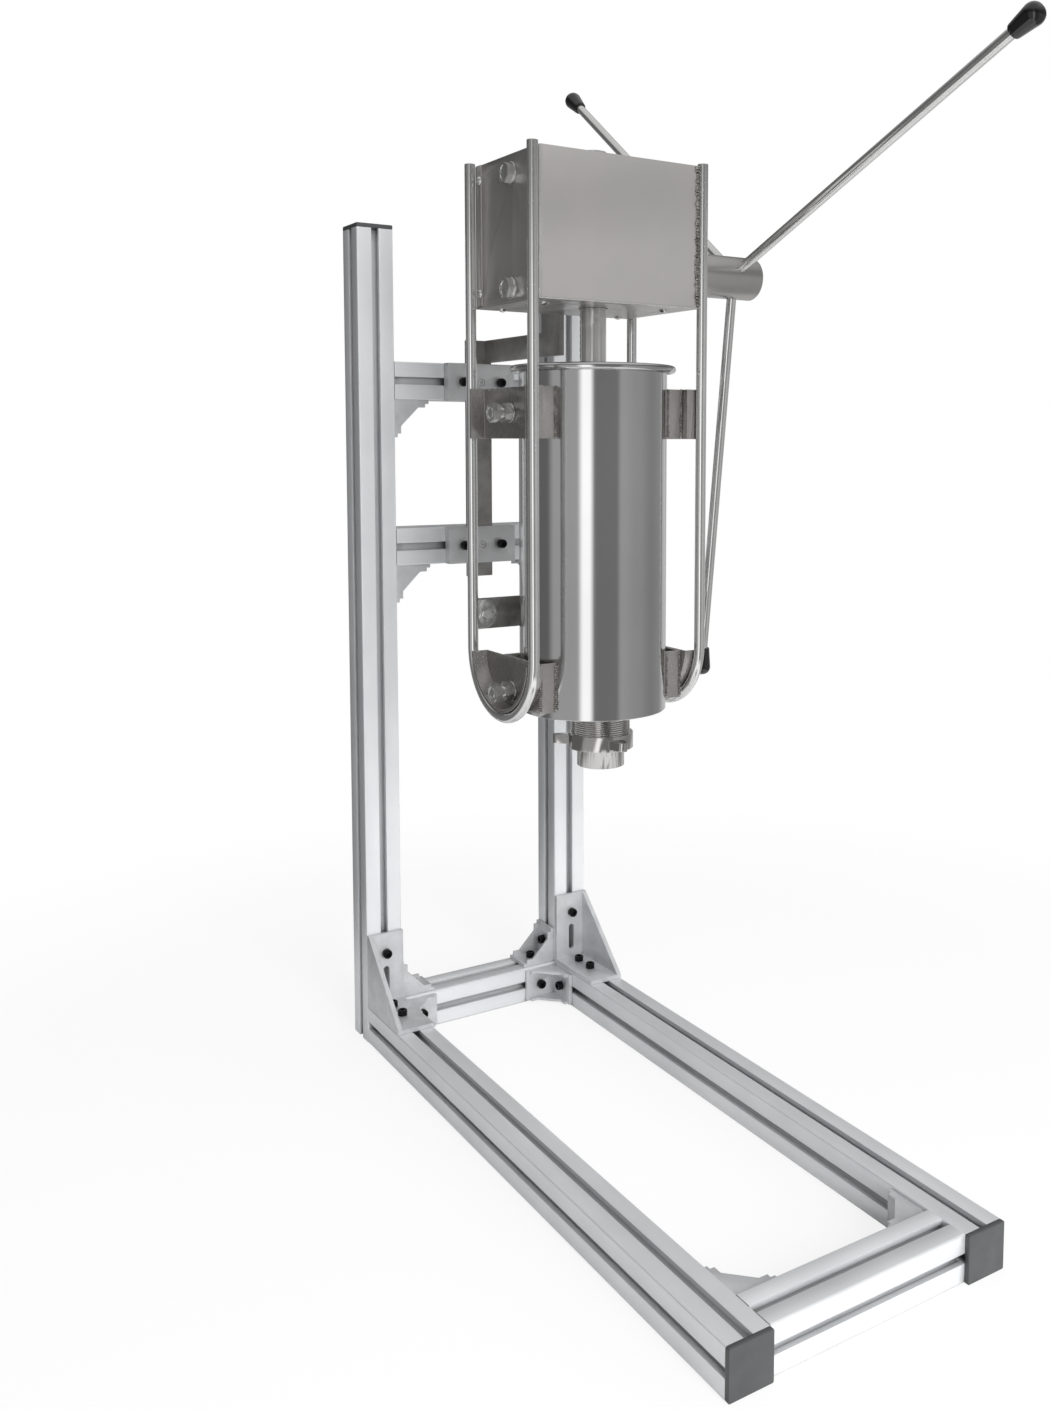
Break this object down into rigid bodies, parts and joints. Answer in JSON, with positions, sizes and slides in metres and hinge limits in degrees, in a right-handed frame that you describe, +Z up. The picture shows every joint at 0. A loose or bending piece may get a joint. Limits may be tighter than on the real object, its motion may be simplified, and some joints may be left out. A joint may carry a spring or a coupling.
{
  "type": "churro maker",
  "caption": "Hand-cranked churro maker: a batter barrel with a rack-driven piston under a gearbox with a three-arm handle, hung on a stand of slotted profile.",
  "frame": {"origin": "on the floor, midway between the two posts, under the middle of the rear cross rail's front land, 8 mm behind the posts' front faces", "axes": "+X towards the handle side, -Y towards the front ends of the base rails, +Z up"},
  "size_m": [0.344, 0.7627, 1.0787],
  "materials": {
    "anodised_profile": "satin silver anodised extruded profile",
    "black_plastic": "moulded black plastic",
    "die_cast": "blasted die-cast aluminium",
    "black_screw": "black oxide on steel",
    "zinc_steel": "zinc-plated steel",
    "clamp_steel": "flat stainless bar, brushed",
    "gearbox_sheet": "folded stainless sheet, fine brushed",
    "bright_steel": "bright stainless fasteners",
    "gear_steel": "cut and ground steel, oiled",
    "bronze": "sintered bronze",
    "turned_steel": "turned stainless steel",
    "polished_rod": "polished stainless rod",
    "bracket_sheet": "bent stainless sheet, dull",
    "mirror_steel": "mirror-polished stainless steel",
    "outlet_steel": "turned and polished stainless steel",
    "gloss_black": "glossy black moulded plastic",
    "white_plastic": "machined white food-grade plastic",
    "seal_rubber": "black nitrile seal"
  },
  "bodies": {
    "stand": {"left_post": "anodised_profile", "right_post": "anodised_profile", "left_rail": "anodised_profile", "right_rail": "anodised_profile", "rear_cross_rail": "anodised_profile", "front_cross_rail": "anodised_profile", "upper_cross_rail": "anodised_profile", "lower_cross_rail": "anodised_profile", "end_caps": "black_plastic", "left_gusset": "die_cast", "right_gusset": "die_cast", "gusset_screws": "black_screw", "base_corner_brackets": "die_cast", "post_corner_brackets": "die_cast", "rail_corner_brackets": "die_cast", "bracket_screws": "black_screw", "slot_nuts": "zinc_steel", "spine_bar": "anodised_profile", "spine_clamps": "clamp_steel", "clamp_screws": "black_screw", "hanger_plate": "clamp_steel", "hanger_bolts": "zinc_steel", "gearbox_shell": "gearbox_sheet", "rear_cover": "gearbox_sheet", "bottom_plate": "gearbox_sheet", "cover_screws": "bright_steel", "rack_guides": "gear_steel", "guide_bolts": "bright_steel", "left_bush": "bronze", "right_bush": "turned_steel", "left_loop": "polished_rod", "right_loop": "polished_rod", "upper_left_bracket": "bracket_sheet", "upper_right_bracket": "bracket_sheet", "lower_left_bracket": "bracket_sheet", "lower_right_bracket": "bracket_sheet", "barrel": "mirror_steel", "barrel_floor": "mirror_steel", "barrel_rim": "mirror_steel", "barrel_tabs": "bracket_sheet", "outlet_neck": "outlet_steel", "clamp_studs": "bright_steel", "clamp_nuts": "bright_steel", "rear_strap": "clamp_steel", "strap_clips": "bright_steel", "strap_screws": "bright_steel"},
    "handle": {"pinion_shaft": "gear_steel", "drive_pinion": "gear_steel", "pinion_key": "zinc_steel", "shaft_ring": "bright_steel", "handle_hub": "turned_steel", "hub_screw": "black_screw", "handle_arms": "polished_rod", "handle_knobs": "gloss_black"},
    "ram": {"rack": "gear_steel", "piston": "white_plastic", "piston_seal": "seal_rubber", "piston_nut": "gear_steel"},
    "nozzle": {"nozzle_tube": "outlet_steel"},
    "nut": {"ring_nut": "outlet_steel"}
  },
  "joints": [
    {"name": "handle_turn", "type": "hinge", "parent": "stand", "child": "handle", "pos_m": [0, -0.226, 0.82], "axis": [-1, 0, 0], "range_deg": [0, 1098]},
    {"name": "piston_lift", "type": "slide", "parent": "stand", "child": "ram", "axis": [0, 0, 1], "range_m": [0, 0.345]},
    {"name": "nozzle_drop", "type": "slide", "parent": "stand", "child": "nozzle", "axis": [0, 0, -1], "range_m": [0, 0.0101]},
    {"name": "nut_turn", "type": "hinge", "parent": "nozzle", "child": "nut", "pos_m": [0, -0.2645, 0.37], "axis": [0, 0, -1], "range_deg": [0, 900]}
  ],
  "couplings": [
    {"joint": "piston_lift", "follows": "handle_turn", "m_per_rad": 0.018},
    {"joint": "nozzle_drop", "follows": "nut_turn", "m_per_rad": 0.00063662}
  ]
}
